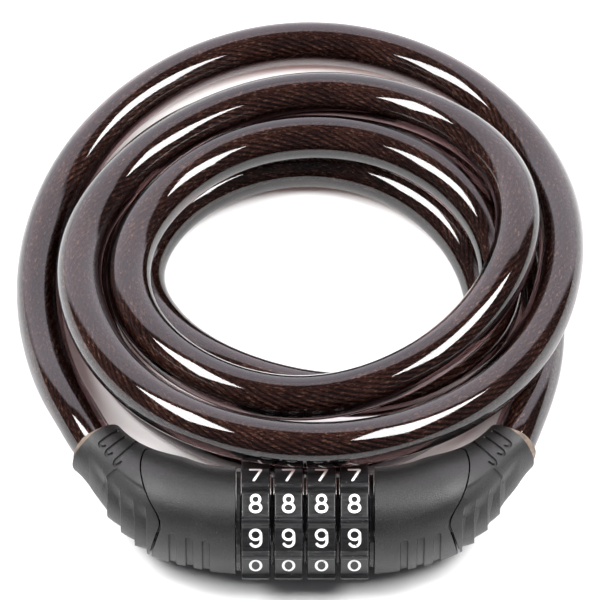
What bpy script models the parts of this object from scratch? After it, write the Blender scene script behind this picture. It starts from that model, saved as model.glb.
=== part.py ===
"""Four-dial combination cable lock with its coiled cable, modelled in metres with +Z up.

The barrel of the lock lies along X at BARREL_Y, BARREL_Z. Everything on the +X side of the dials is fixed (it
carries the core that the dials turn on), everything on the -X side pulls off along -X with the bolt. Both
housings bend back towards +Y, where the cable leaves them and lies in a coil.
"""

import math

import bmesh
import bpy
import numpy as np
from mathutils import Matrix, Vector

MM = 0.001

# Driving dimensions
GAP = 0.3 * MM  # clearance kept between pieces that touch
BARREL_Y = -6.5 * MM  # barrel axis, with the box of the lock itself centred on the origin
BARREL_Z = 16.9 * MM
DIAL_COUNT = 4
DIAL_PITCH = 8.6 * MM
DIAL_WIDTH = 7.4 * MM
DIGITS = 10
DIAL_FLAT = 14.6 * MM  # axis to the middle of a digit's flat
DIAL_RIB = 16.4 * MM  # axis to the tip of a rib
RIB_ANGLE = 55.0  # one rib points up and forwards at this angle
DIAL_CHAMFER = 0.5 * MM
DIAL_BORE = 10.2 * MM
CODE_RING_WIDTH = 5.4 * MM
CODE_RING_OUT = 9.9 * MM
CORE_OUT = 6.5 * MM
CORE_IN = 3.4 * MM
RUNNING = 0.4 * MM  # radial clearance of what turns on the core
BOLT_R = 2.6 * MM
TOOTH_TOP = 8.1 * MM
TOOTH_WIDE = 2.2 * MM
TOOTH_LONG = 2.4 * MM
GATE_TOP = 8.7 * MM
GATE_HALF_ANGLE = 12.0
BOLT_HEAD_DEPTH = 5.0 * MM  # from the housing's face to the bolt's head

FACE_X = 18.25 * MM  # dial side face of each housing
END_X = 54.6 * MM  # middle of a housing's cable end, from the barrel axis
END_Y = 22.6 * MM
END_ANGLE = 52.0  # direction of a housing's cable end, from the barrel axis
FACE_R = 14.6 * MM
MOUTH_R = 8.5 * MM
SIDE_SQUEEZE = 0.925  # a housing is a little narrower front to back than it is high
FOOT_STRETCH = 1.18  # and deeper below the axis, down to its flat foot
WALL = 1.7 * MM
RING_POINTS = 36

CABLE_R = 6.0 * MM
CABLE_CORE_R = 2.4 * MM
JACKET_WALL = 2.9 * MM
CABLE_POINTS = 79
COIL_X = -0.5 * MM  # axis of the coil, from the middle of the barrel
COIL_Y = 87.0 * MM
CABLE_INSIDE = 5.8 * MM  # length of jacket inside each housing
BOLT_EXIT_ANGLE = 57.0
LOCK_EXIT_ANGLE = 65.0
LOCK_EXIT_SHIFT = 0.7 * MM  # the cable leans on the inner side of this mouth


# Small tools


def material(name, color, roughness, metallic=0.0, alpha=1.0):
    made = bpy.data.materials.get(name) or bpy.data.materials.new(name)
    made.use_nodes = True
    shader = made.node_tree.nodes["Principled BSDF"]
    shader.inputs["Base Color"].default_value = (*color, 1.0)
    shader.inputs["Roughness"].default_value = roughness
    shader.inputs["Metallic"].default_value = metallic
    shader.inputs["Alpha"].default_value = alpha
    return made


def abs_black():
    return material("matt_black_abs", (0.035, 0.035, 0.037), 0.62)


def dial_black():
    return material("satin_black_dial", (0.018, 0.018, 0.020), 0.38)


def steel():
    return material("plated_steel", (0.62, 0.62, 0.64), 0.28, 1.0)


def brass():
    return material("brass", (0.70, 0.53, 0.26), 0.34, 1.0)


def zinc():
    return material("zinc_die_cast", (0.50, 0.51, 0.53), 0.45, 1.0)


def smoke_pvc():
    return material("smoke_black_pvc", (0.045, 0.034, 0.032), 0.12)


def put_mesh(name, points, faces, finish):
    """A mesh object from points and faces, with its normals made to point out."""
    mesh = bpy.data.meshes.new(name)
    mesh.from_pydata([tuple(map(float, p)) for p in points], [], faces)
    shape = bmesh.new()
    shape.from_mesh(mesh)
    bmesh.ops.recalc_face_normals(shape, faces=shape.faces)
    shape.to_mesh(mesh)
    shape.free()
    made = bpy.data.objects.new(name, mesh)
    made.data.materials.append(finish)
    bpy.context.scene.collection.objects.link(made)
    mesh.shade_smooth()
    mesh.set_sharp_from_angle(angle=math.radians(32))
    return made


def skin(rings, closed):
    """Points and faces of the surface through rings of equal count. Closed joins the last ring to the first,
    which makes a tube wall; otherwise both ends are capped."""
    count, around = len(rings), len(rings[0])
    points = [p for ring in rings for p in ring]
    faces = []
    for i in range(count if closed else count - 1):
        j = (i + 1) % count
        for k in range(around):
            m = (k + 1) % around
            faces.append((i * around + k, i * around + m, j * around + m, j * around + k))
    if not closed:
        faces.append(tuple(range(around))[::-1])
        faces.append(tuple((count - 1) * around + k for k in range(around)))
    return points, faces


def circle(radius, around=24, start=0.0):
    """(angle in degrees, radius) pairs of a round outline about the barrel."""
    return [(start + 360.0 * k / around, radius) for k in range(around)]


def notched(radius, top, half_angle, around=24):
    """A round outline with one notch out to top at the +Z side, and a plain one with matching points."""
    rest = np.linspace(90 + half_angle, 450 - half_angle, around)
    cut = [(90 - half_angle + 0.01, top), (90 + half_angle - 0.01, top)]
    inner = cut + [(angle, radius) for angle in rest]
    spread = 360.0 / (around + 2)
    outer = [(90 + spread * (k - 0.5), 1.0) for k in range(around + 2)]
    return inner, outer


def on_barrel(x, outline, scale=1.0):
    """The outline's points at x, as world places about the barrel axis. Angle 0 is the front, 90 is up."""
    return [
        (
            x,
            BARREL_Y - scale * radius * math.cos(math.radians(angle)),
            BARREL_Z + scale * radius * math.sin(math.radians(angle)),
        )
        for angle, radius in outline
    ]


def turned(name, profile, finish, around=24, closed=True):
    """A turned piece about the barrel axis: profile is (x, radius) points, a loop for a sleeve."""
    rings = [on_barrel(x, circle(radius, around)) for x, radius in profile]
    return put_mesh(name, *skin(rings, closed), finish)


def block(name, low, high, finish, turn=0.0, about=(0, 0, 0)):
    """A box between two corners, turned about Z by an angle in degrees around a point."""
    corners = [(x, y, z) for x in (low[0], high[0]) for y in (low[1], high[1]) for z in (low[2], high[2])]
    faces = [(0, 1, 3, 2), (4, 6, 7, 5), (0, 4, 5, 1), (2, 3, 7, 6), (0, 2, 6, 4), (1, 5, 7, 3)]
    pivot = Vector(about)
    spin = Matrix.Rotation(math.radians(turn), 3, "Z")
    points = [spin @ (Vector(c) - pivot) + pivot for c in corners]
    return put_mesh(name, points, faces, finish)


def rod(name, start, end, radius, finish, around=16):
    """A plain round rod from start to end."""
    start, end = Vector(start), Vector(end)
    axis = (end - start).normalized()
    side = axis.orthogonal().normalized()
    other = axis.cross(side)
    angles = [2 * math.pi * k / around for k in range(around)]
    rings = [
        [p + radius * (math.cos(a) * side + math.sin(a) * other) for a in angles] for p in (start, end)
    ]
    return put_mesh(name, *skin(rings, False), finish)


def combine(target, tool, operation):
    """Adds or cuts one shape with an exact Boolean; the tool stays as a hidden guide."""
    step = target.modifiers.new(tool.name, "BOOLEAN")
    step.operation = operation
    step.solver = "EXACT"
    step.object = tool
    tool.hide_render = True
    tool.display_type = "WIRE"


# Dials


def dial_outline(inset=0.0):
    """Ten flats with a raised rib at every corner, as (angle, radius) about the barrel."""
    outline = []
    step = 360.0 / DIGITS
    for k in range(DIGITS):
        corner = RIB_ANGLE + step * k
        foot = DIAL_FLAT / math.cos(math.radians(step / 2 - 5.0))
        outline += [(corner - 5.0, foot - inset), (corner - 2.4, DIAL_RIB - inset)]
        outline += [(corner + 2.4, DIAL_RIB - inset), (corner + 5.0, foot - inset)]
    return outline


def dial_center(number):
    return (number - (DIAL_COUNT + 1) / 2) * DIAL_PITCH


def number_dial(number):
    x = dial_center(number)
    half = DIAL_WIDTH / 2
    full, small = dial_outline(), dial_outline(DIAL_CHAMFER)
    bore = [(angle, DIAL_BORE) for angle, _ in full]
    rings = [
        on_barrel(x - half, small),
        on_barrel(x - half + DIAL_CHAMFER, full),
        on_barrel(x + half - DIAL_CHAMFER, full),
        on_barrel(x + half, small),
        on_barrel(x + half, bore),
        on_barrel(x - half, bore),
    ]
    return put_mesh(f"number_dial_{number}", *skin(rings, True), dial_black())


def gated_ring(name, x, width, inner_r, outer_r, finish):
    """A flat ring about the core whose bore has the gate that lets the bolt's teeth pass."""
    inner, outer = notched(inner_r, GATE_TOP, GATE_HALF_ANGLE)
    half = width / 2
    rings = [
        on_barrel(x - half, outer, outer_r),
        on_barrel(x + half, outer, outer_r),
        on_barrel(x + half, inner),
        on_barrel(x - half, inner),
    ]
    return put_mesh(name, *skin(rings, True), finish)


def dials():
    for number in range(1, DIAL_COUNT + 1):
        number_dial(number)
        x = dial_center(number)
        gated_ring(f"code_ring_{number}", x, CODE_RING_WIDTH, CORE_OUT + RUNNING, CODE_RING_OUT, brass())


def rings_between_dials():
    """Washers that keep the dials apart, and the two end rings that show beside the housings."""
    for number in range(1, DIAL_COUNT):
        x = (dial_center(number) + dial_center(number + 1)) / 2
        gated_ring(f"spacer_ring_{number}", x, 0.6 * MM, CORE_OUT + GAP, 11.8 * MM, dial_black())
    edge = DIAL_COUNT * DIAL_PITCH / 2 - (DIAL_PITCH - DIAL_WIDTH) / 2
    width = FACE_X - edge - 2 * GAP
    middle = (FACE_X + edge) / 2
    gated_ring("dial_retainer", -middle, width, CORE_OUT + GAP, 13.5 * MM, dial_black())
    gated_ring("thrust_ring", middle, width, CORE_OUT + GAP, 12.5 * MM, dial_black())


# Core, detents and bolt


def lock_core():
    """Slotted tube that the dials turn on, with a flange inside the fixed housing."""
    left = -FACE_X + 0.6 * MM
    flange = FACE_X + 2.4 * MM
    right = flange + 3.0 * MM
    core = turned(
        "lock_core",
        [
            (left, CORE_OUT),
            (flange, CORE_OUT),
            (flange, 9.5 * MM),
            (right, 9.5 * MM),
            (right, CORE_IN),
            (left, CORE_IN),
        ],
        zinc(),
        around=32,
    )
    half = TOOTH_WIDE / 2 + 0.35 * MM
    slot_end = FACE_X + 1.9 * MM
    slot = block(
        "core_slot",
        (left - MM, BARREL_Y - half, BARREL_Z + 1.5 * MM),
        (slot_end, BARREL_Y + half, BARREL_Z + CORE_OUT + MM),
        zinc(),
    )
    combine(core, slot, "DIFFERENCE")
    reach = 15.4 * MM
    groove = block(
        "detent_groove",
        (-reach, BARREL_Y - 1.2 * MM, BARREL_Z - CORE_OUT - MM),
        (reach, BARREL_Y + 1.2 * MM, BARREL_Z - 4.3 * MM),
        zinc(),
    )
    combine(core, groove, "DIFFERENCE")


def ball(name, place, radius, finish):
    shape = bmesh.new()
    bmesh.ops.create_uvsphere(shape, u_segments=10, v_segments=6, radius=radius)
    bmesh.ops.translate(shape, verts=shape.verts, vec=place)
    mesh = bpy.data.meshes.new(name)
    shape.to_mesh(mesh)
    shape.free()
    made = bpy.data.objects.new(name, mesh)
    mesh.materials.append(finish)
    bpy.context.scene.collection.objects.link(made)


def detents():
    """A leaf spring in the core's lower groove with one ball under each dial."""
    reach = 15.0 * MM
    top = BARREL_Z - 4.6 * MM
    block(
        "detent_leaf_spring",
        (-reach, BARREL_Y - 0.9 * MM, top - 0.35 * MM),
        (reach, BARREL_Y + 0.9 * MM, top),
        steel(),
    )
    for number in range(1, DIAL_COUNT + 1):
        place = (dial_center(number), BARREL_Y, BARREL_Z - 5.95 * MM)
        ball(f"detent_ball_{number}", place, 0.62 * MM, steel())


def bolt():
    """Round bolt with a tooth for each dial; a head holds it in the anchor block."""
    tip = dial_center(DIAL_COUNT) + DIAL_PITCH / 2 + 2.0 * MM
    head = -FACE_X - BOLT_HEAD_DEPTH
    made = turned(
        "bolt",
        [
            (head - 3.0 * MM, 4.2 * MM),
            (head, 4.2 * MM),
            (head, BOLT_R),
            (tip - MM, BOLT_R),
            (tip, BOLT_R - MM),
        ],
        steel(),
        around=20,
        closed=False,
    )
    for number in range(1, DIAL_COUNT + 1):
        x = dial_center(number) + DIAL_PITCH / 2
        tooth = block(
            f"tooth_{number}",
            (x - TOOTH_LONG / 2, BARREL_Y - TOOTH_WIDE / 2, BARREL_Z + 1.2 * MM),
            (x + TOOTH_LONG / 2, BARREL_Y + TOOTH_WIDE / 2, BARREL_Z + TOOTH_TOP),
            steel(),
        )
        combine(made, tooth, "UNION")


# Housings


def smooth_step(t):
    t = np.clip(t, 0.0, 1.0)
    return t * t * (3 - 2 * t)


def housing_path(t):
    """Middle line of a housing on the +X side: a cubic from the dial face to the cable end."""
    angle = math.radians(END_ANGLE)
    ends = np.array([[FACE_X, 0.0], [FACE_X + 20 * MM, 0.0], [0, 0], [END_X, END_Y]])
    ends[2] = ends[3] - 15 * MM * np.array([math.cos(angle), math.sin(angle)])
    weights = np.array([(1 - t) ** 3, 3 * t * (1 - t) ** 2, 3 * t * t * (1 - t), t**3])
    slopes = np.array([-3 * (1 - t) ** 2, 3 * (1 - t) * (1 - 3 * t), 3 * t * (2 - 3 * t), 3 * t * t])
    place, slope = weights @ ends, slopes @ ends
    return place, slope / np.linalg.norm(slope)


def housing_ring(t_around, side, inset=0.0, radius=None):
    """One ring of a housing. t_around is the place along the path for each point of the ring, so a slanted
    parting line is a ring too. The section is an ellipse with a deeper lower half, cut flat at the foot."""
    ring = []
    for k in range(RING_POINTS):
        angle = 2 * math.pi * k / RING_POINTS
        t = float(t_around[k])
        place, slope = housing_path(t)
        across = np.array([-slope[1], slope[0]])
        taper = FACE_R - (FACE_R - MOUTH_R) * float(smooth_step((t - 0.34) / 0.66))
        full = radius if radius else taper - inset
        back = -full * math.cos(angle) * (1.0 if radius else SIDE_SQUEEZE)
        rise = full * math.sin(angle)
        if rise < 0 and not radius:
            rise *= 1 + (FOOT_STRETCH - 1) * (1 - float(smooth_step((t - 0.4) / 0.5)))
        x, y = place + across * back
        z = max(BARREL_Z + rise, inset)
        ring.append((side * x, BARREL_Y + y, z))
    return ring


def parting_line():
    """Where the two mouldings meet, as a place along the path for each point around: an S on the front."""
    angles = np.array([0, 40, 64, 88, 120, 180, 225, 270, 325, 360.0])
    places = np.array([0.325, 0.30, 0.44, 0.575, 0.68, 0.63, 0.55, 0.45, 0.36, 0.325])
    fine = np.interp(np.arange(0, 360, 2.0), angles, places)
    kernel = np.ones(11) / 11
    soft = np.convolve(np.tile(fine, 3), kernel, "same")[len(fine) : 2 * len(fine)]
    return np.interp(np.arange(RING_POINTS) * 360.0 / RING_POINTS, np.arange(0, 360, 2.0), soft, period=360)


def even(t):
    return np.full(RING_POINTS, t)


def housing(name, side, hole_r):
    """Dial side moulding: a shell with a face wall that has a round hole for the bolt or the core."""
    seam = parting_line()
    shares = np.linspace(0, 1, 8)
    outer = [housing_ring(share * seam, side) for share in shares]
    inner_start = 0.045
    inner = [housing_ring(inner_start + share * (seam - inner_start), side, WALL) for share in shares]
    hole = [housing_ring(even(t), side, radius=hole_r) for t in (inner_start, 0.0)]
    return put_mesh(name, *skin(outer + inner[::-1] + hole, True), abs_black())


def end_cover(name, side):
    """Cable side moulding: a tapering tube from the parting line to the cable's mouth."""
    start = parting_line() + 0.013
    shares = np.linspace(0, 1, 8)
    outer = [housing_ring(start + share * (1 - start), side) for share in shares]
    inner = [housing_ring(start + share * (1 - start), side, WALL - 0.7 * MM * share) for share in shares]
    return put_mesh(name, *skin(outer + inner[::-1], True), abs_black())


# Anchors at the ends of the cable


def exit_of(side):
    """Where the cable leaves a housing, and its direction there, in world places."""
    angle = math.radians(LOCK_EXIT_ANGLE if side > 0 else BOLT_EXIT_ANGLE)
    way = Vector((side * math.cos(angle), math.sin(angle), 0))
    shift = LOCK_EXIT_SHIFT if side > 0 else 0.0
    facing = math.radians(END_ANGLE)
    x = END_X - shift * math.sin(facing)
    y = END_Y + shift * math.cos(facing)
    return Vector((side * x, BARREL_Y + y, BARREL_Z)), way


def ferrule(name, side):
    """Crimped sleeve on the bare cable core, with a flat eye at its closed end."""
    mouth, way = exit_of(side)
    front = mouth - way * (CABLE_INSIDE + GAP)
    up, across = Vector((0, 0, 1)), Vector((-way.y, way.x, 0))
    bore = CABLE_CORE_R + 0.4 * MM
    out = 4.6 * MM
    profile = [(5.5, bore), (0.0, bore), (0.0, out), (7.0, out), (8.0, out - MM)]
    angles = [2 * math.pi * k / 20 for k in range(20)]
    rings = []
    for back, radius in profile:
        middle = front - way * back * MM
        rings.append([middle + radius * (math.cos(a) * across + math.sin(a) * up) for a in angles])
    made = put_mesh(name, *skin(rings, False), steel())
    eye_end = front - way * 13.5 * MM
    eye = block(
        name + "_eye",
        (eye_end.x, eye_end.y - 2.6 * MM, BARREL_Z - 1.3 * MM),
        (eye_end.x + 7.0 * MM, eye_end.y + 2.6 * MM, BARREL_Z + 1.3 * MM),
        steel(),
        math.degrees(math.atan2(way.y, way.x)),
        eye_end,
    )
    combine(made, eye, "UNION")
    pin_place = eye_end + way * 2.3 * MM
    hole = rod(name + "_hole", pin_place - up * 4 * MM, pin_place + up * 4 * MM, 1.5 * MM, steel())
    combine(made, hole, "DIFFERENCE")
    return pin_place


def anchor(name, side, pin_place, t_start, t_end):
    """Die-cast block along the bend of the housing. Its forked end holds the pin of the cable's eye."""
    corners = [(-1, -0.75), (-0.75, -1), (0.75, -1), (1, -0.75)]
    corners += [(-back, -up) for back, up in corners]
    rings = []
    for t in np.linspace(t_start, t_end, 6):
        place, slope = housing_path(t)
        across = np.array([-slope[1], slope[0]])
        wide = (6.2 - 2.0 * float(smooth_step((t - 0.3) / 0.3))) * MM
        ring = []
        for back, up in corners:
            x, y = place + across * back * wide
            ring.append((side * x, BARREL_Y + y, BARREL_Z + up * 5.5 * MM))
        rings.append(ring)
    made = put_mesh(name, *skin(rings, False), zinc())
    up = Vector((0, 0, 1))
    way = exit_of(side)[1]
    start = pin_place - way * 3.0 * MM
    slot = block(
        name + "_slot",
        (start.x, start.y - 9 * MM, BARREL_Z - 1.7 * MM),
        (start.x + 12 * MM, start.y + 9 * MM, BARREL_Z + 1.7 * MM),
        zinc(),
        math.degrees(math.atan2(way.y, way.x)),
        start,
    )
    combine(made, slot, "DIFFERENCE")
    hole = rod(name + "_pin_hole", pin_place - up * 9 * MM, pin_place + up * 9 * MM, 1.5 * MM, zinc())
    combine(made, hole, "DIFFERENCE")
    rod(name + "_pin", pin_place - up * 5.2 * MM, pin_place + up * 5.2 * MM, 1.15 * MM, steel(), 12)
    return made


def bolt_socket(made):
    """Stepped bore in the bolt's anchor, open at the dial side, for the bolt's shaft and head."""
    head = -FACE_X - BOLT_HEAD_DEPTH
    cut = turned(
        "bolt_socket",
        [
            (head - 3.4 * MM, 4.6 * MM),
            (head + 0.4 * MM, 4.6 * MM),
            (head + 0.4 * MM, BOLT_R + GAP),
            (-FACE_X, BOLT_R + GAP),
        ],
        zinc(),
        around=20,
        closed=False,
    )
    combine(made, cut, "DIFFERENCE")


def cable_seal(name, side):
    """Short ring round the cable, flat against the housing's mouth."""
    mouth, way = exit_of(side)
    facing = math.radians(END_ANGLE)
    up, across = Vector((0, 0, 1)), Vector((-math.sin(facing), side * math.cos(facing), 0))
    angles = [2 * math.pi * k / 24 for k in range(24)]
    rings = []
    for ahead, radius in ((0.5, 7.5), (1.6, 7.3), (1.6, 6.7), (0.5, 6.7)):
        middle = mouth + way * ahead * MM
        rings.append([middle + radius * MM * (math.cos(a) * across + math.sin(a) * up) for a in angles])
    put_mesh(name, *skin(rings, True), material("grommet_rubber", (0.05, 0.042, 0.038), 0.5))


# Cable


def coil_stations():
    """(angle, radius, height) of the cable's middle line about the coil's axis. Angle 0 is the front, over
    the lock, and the cable winds by the left (90), the back (180) and the right (270)."""
    lead_in = [(47.5, 80.8, 16.8), (53, 78.8, 15.8), (64, 75.2, 12.2)]
    turns = [
        # first turn: down to the floor, round the back, up over the lock
        [None, None, (71, 7.4), (71, 6.2), (74, 6.2), (77, 6.2)],
        [(76.3, 6.2), (72.2, 10), (69.4, 19), (71, 25.5), (74.8, 32), (77.3, 37.6)],
        # second turn: off the lock, on top of the pile, and back to the front behind the first
        [(73.4, 35.2), (65.2, 28.2), (58.6, 21.6), (52.3, 18.6), (49.1, 18.6), (50.3, 18.6)],
        [(53.3, 19.6), (56.6, 24), (57.5, 30.4), (56.2, 31.2), (56.2, 30.8), (57.2, 29.8)],
        # third turn: the inner run of the pile's upper layer
        [(55.5, 28.4), (51.4, 25), (45, 20.7), (39.2, 18.8), (36.2, 18.7), (35.9, 18.7)],
        [(38.7, 18.7), (44.3, 18.7), (51.7, 18.5), (56.2, 18.4), (53.2, 18.4), (47.2, 18.4)],
        # fourth turn: down to the floor inside the others
        [(45.2, 19.1), (43.6, 13.6), (43.1, 7.8), (39.6, 6.2), (36.3, 6.2), (35.6, 6.2)],
        [(37.2, 6.2), (41, 6.2), (47.4, 6.2), (55.3, 6.2), (60, 6.2), (60.5, 6.2)],
        # last turn: along the floor under the first two, towards the fixed housing
        [(59.3, 6.2), (58.6, 6.2), (58.2, 6.2), (57.8, 6.2), (57.2, 6.2), (57, 6.2)],
        [(58.2, 6.2), (59.8, 6.2), (63.2, 6.4), None, None, None],
    ]
    lead_out = [(290, 68.2, 9.2), (304.4, 74.6, 13.8), (314.6, 80.7, 16.6)]
    places = [place for half in turns for place in half]
    ring = [(30.0 * (k + 1), *place) for k, place in enumerate(places) if place]
    return lead_in + ring + [(angle + 1440, radius, height) for angle, radius, height in lead_out]


def cable_route():
    """The route's own points: straight out of one housing, round the coil, straight into the other."""
    start, out = exit_of(-1)
    end, back = exit_of(1)
    route = [start - out * CABLE_INSIDE, start, start + out * 3 * MM]
    for angle, radius, height in coil_stations():
        turn = math.radians(angle)
        x = COIL_X - radius * MM * math.sin(turn)
        y = BARREL_Y + COIL_Y - radius * MM * math.cos(turn)
        route.append(Vector((x, y, height * MM)))
    route += [end + back * 3 * MM, end, end - back * CABLE_INSIDE]
    return np.array([list(p) for p in route])


def smooth_line(route, count, straight=0.0):
    """Points on the natural cubic spline through the route: its two ends, and between them even points that
    start a straight length in from each end."""
    knots = np.concatenate([[0], np.cumsum(np.linalg.norm(np.diff(route, axis=0), axis=1))])
    h = np.diff(knots)
    n = len(knots)
    system, right = np.zeros((n, n)), np.zeros((n, 3))
    system[0, 0] = system[-1, -1] = 1.0
    for i in range(1, n - 1):
        system[i, i - 1 : i + 2] = h[i - 1], 2 * (h[i - 1] + h[i]), h[i]
        right[i] = 6 * ((route[i + 1] - route[i]) / h[i] - (route[i] - route[i - 1]) / h[i - 1])
    bend = np.linalg.solve(system, right)

    def at(s):
        i = np.clip(np.searchsorted(knots, s) - 1, 0, n - 2)
        a, b = (knots[i + 1] - s) / h[i], (s - knots[i]) / h[i]
        a, b, w = a[:, None], b[:, None], h[i][:, None] ** 2 / 6
        return a * route[i] + b * route[i + 1] + w * ((a**3 - a) * bend[i] + (b**3 - b) * bend[i + 1])

    fine = at(np.linspace(0, knots[-1], 4000))
    along = np.concatenate([[0], np.cumsum(np.linalg.norm(np.diff(fine, axis=0), axis=1))])
    between = np.linspace(straight, along[-1] - straight, count - 2)
    wanted = np.concatenate([[0], between, [along[-1]]])
    return np.stack([np.interp(wanted, along, fine[:, k]) for k in range(3)], axis=1)


def tube(name, line, radius, finish, capped):
    """A curve swept to a round tube."""
    curve = bpy.data.curves.new(name, "CURVE")
    curve.dimensions = "3D"
    curve.bevel_depth = radius
    curve.bevel_resolution = 3
    curve.use_fill_caps = capped
    curve.render_resolution_u = 0
    spline = curve.splines.new("POLY")
    spline.points.add(len(line) - 1)
    for point, place in zip(spline.points, line):
        point.co = (*place, 1.0)
    made = bpy.data.objects.new(name, curve)
    curve.materials.append(finish)
    bpy.context.scene.collection.objects.link(made)
    return made


def cable():
    """Smoke PVC jacket over a stranded steel core that runs on into both ferrules."""
    line = smooth_line(cable_route(), CABLE_POINTS, CABLE_INSIDE + 4 * MM)
    jacket = tube("cable_jacket", line, CABLE_R, smoke_pvc(), False)
    wall = jacket.modifiers.new("wall", "SOLIDIFY")
    wall.thickness = JACKET_WALL
    wall.offset = -1.0
    wall.use_even_offset = True
    reach = 4.6 * MM
    first = line[0] + (line[0] - line[1]) / np.linalg.norm(line[0] - line[1]) * reach
    last = line[-1] + (line[-1] - line[-2]) / np.linalg.norm(line[-1] - line[-2]) * reach
    tube("cable_core", np.vstack([first, line, last]), CABLE_CORE_R, steel(), True)


def main():
    for thing in list(bpy.data.objects):
        bpy.data.objects.remove(thing, do_unlink=True)
    dials()
    rings_between_dials()
    lock_core()
    detents()
    bolt()
    housing("bolt_housing", -1, BOLT_R + 1.0 * MM)
    end_cover("bolt_end_cover", -1)
    housing("lock_housing", 1, 9.9 * MM)
    end_cover("lock_end_cover", 1)
    bolt_pin = ferrule("bolt_ferrule", -1)
    bolt_socket(anchor("bolt_anchor", -1, bolt_pin, 0.06, 0.62))
    lock_pin = ferrule("lock_ferrule", 1)
    anchor("lock_anchor", 1, lock_pin, 0.12, 0.62)
    cable_seal("bolt_cable_seal", -1)
    cable_seal("lock_cable_seal", 1)
    cable()


main()
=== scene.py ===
# %% [markdown]
# # A combination cable lock
# The lock is two curved plastic housings with four number dials between them, on a long coiled cable.
# The imported CAD model gives every place and size. This notebook puts finished surfaces over it. Each new
# surface is worked out with numpy as a grid of points, and those of the housings, bushes and dials ride on
# their CAD body.

# %% The imported frame
import math

import bpy
import numpy as np
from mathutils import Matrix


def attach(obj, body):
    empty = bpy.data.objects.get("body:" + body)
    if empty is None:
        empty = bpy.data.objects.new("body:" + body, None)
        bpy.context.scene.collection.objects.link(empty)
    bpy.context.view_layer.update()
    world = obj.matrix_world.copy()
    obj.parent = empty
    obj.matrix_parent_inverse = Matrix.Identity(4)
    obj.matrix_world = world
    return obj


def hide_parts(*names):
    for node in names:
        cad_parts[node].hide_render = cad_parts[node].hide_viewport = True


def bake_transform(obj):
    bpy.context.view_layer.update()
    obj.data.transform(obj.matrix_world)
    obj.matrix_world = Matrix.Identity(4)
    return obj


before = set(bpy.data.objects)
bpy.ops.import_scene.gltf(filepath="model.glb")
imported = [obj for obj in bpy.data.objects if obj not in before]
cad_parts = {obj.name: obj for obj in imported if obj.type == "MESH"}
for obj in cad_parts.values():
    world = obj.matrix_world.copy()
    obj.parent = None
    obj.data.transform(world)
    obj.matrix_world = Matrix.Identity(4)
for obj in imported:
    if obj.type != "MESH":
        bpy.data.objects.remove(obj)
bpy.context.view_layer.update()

# %% [markdown]
# The camera looks down at the coil from the front at 55 degrees, from a little over two metres with a long
# lens, so the far side of the coil is hardly smaller than the near side. It comes first because all that
# follows is judged through it.

# %% Camera
LOOK_AT = (-0.00131, 0.07565, 0.0)
LOOK_DOWN = math.radians(55)
CAMERA_DISTANCE = 2.2
LENS = 488.9

camera_data = bpy.data.cameras.new("camera")
camera_data.lens = LENS
camera_data.sensor_width = 36
camera_data.clip_end = 50
camera = bpy.data.objects.new("camera", camera_data)
camera.location = (
    LOOK_AT[0],
    LOOK_AT[1] - CAMERA_DISTANCE * math.cos(LOOK_DOWN),
    CAMERA_DISTANCE * math.sin(LOOK_DOWN),
)
camera.rotation_euler = (math.pi / 2 - LOOK_DOWN, 0, 0)
bpy.context.scene.collection.objects.link(camera)
bpy.context.scene.camera = camera
bpy.context.scene.view_settings.view_transform = "Standard"
print("camera at", [round(v, 3) for v in camera.location])

# %% [markdown]
# A grid of points becomes a mesh by joining each point to its neighbours with four-sided faces. The grid may
# close on itself along its columns, as a tube does, and along its rows, as a ring does. A row of equal
# points makes a pole that closes an end. The sign of the volume says which way the faces look, so a
# surface that came out inside out is turned round.

# %% Grid to mesh


def quads(rows, cols, loop_rows, loop_cols):
    """Corner numbers of the faces between neighbouring points of a grid of rows x cols points."""
    i, j = np.meshgrid(np.arange(rows - (not loop_rows)), np.arange(cols - (not loop_cols)), indexing="ij")
    i2, j2 = (i + 1) % rows, (j + 1) % cols
    return np.stack([i * cols + j, i * cols + j2, i2 * cols + j2, i2 * cols + j], -1).reshape(-1, 4)


def volume(points, faces):
    """Six times the space inside: the sum over the faces of a . (b x c) for both of their triangles."""
    a, b, c, d = (points[faces[:, k]] for k in range(4))
    return float((a * np.cross(b, c)).sum() + (a * np.cross(c, d)).sum())


def put_surface(name, grids, finish, sharp=30.0, extra=None):
    """A mesh of one or more closed grids, each (points of rows x cols x 3, loop_rows, loop_cols)."""
    points, faces, start = [], [], 0
    for grid, loop_rows, loop_cols in grids:
        rows, cols = grid.shape[:2]
        flat = grid.reshape(-1, 3)
        made = quads(rows, cols, loop_rows, loop_cols)
        if volume(flat - flat.mean(0), made) < 0:
            made = made[:, ::-1]
        points.append(flat)
        faces.append(made + start)
        start += len(flat)
    points, faces = np.concatenate(points), np.concatenate(faces)
    mesh = bpy.data.meshes.new(name)
    mesh.vertices.add(len(points))
    mesh.vertices.foreach_set("co", points.astype(np.float32).ravel())
    mesh.loops.add(faces.size)
    mesh.loops.foreach_set("vertex_index", faces.astype(np.int32).ravel())
    mesh.polygons.add(len(faces))
    mesh.polygons.foreach_set("loop_start", np.arange(0, faces.size, 4, dtype=np.int32))
    mesh.update(calc_edges=True)
    if extra is not None:
        layer = mesh.attributes.new(extra[0], "FLOAT_VECTOR", "POINT")
        layer.data.foreach_set("vector", extra[1].astype(np.float32).ravel())
    made = bpy.data.objects.new(name, mesh)
    bpy.context.scene.collection.objects.link(made)
    mesh.materials.append(finish)
    mesh.validate()
    mesh.shade_smooth()
    mesh.set_sharp_from_angle(angle=math.radians(sharp))
    print(f"{name}: {len(points)} points, {2 * len(faces)} triangles")
    return made


def pole(row):
    """A row with all its points at its middle, which closes the end of a tube."""
    return np.broadcast_to(row.mean(0), row.shape)


def smooth_step(x):
    """0 before 0, 1 after 1, and the cubic 3x^2 - 2x^3 between."""
    x = np.clip(x, 0.0, 1.0)
    return x * x * (3 - 2 * x)


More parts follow.
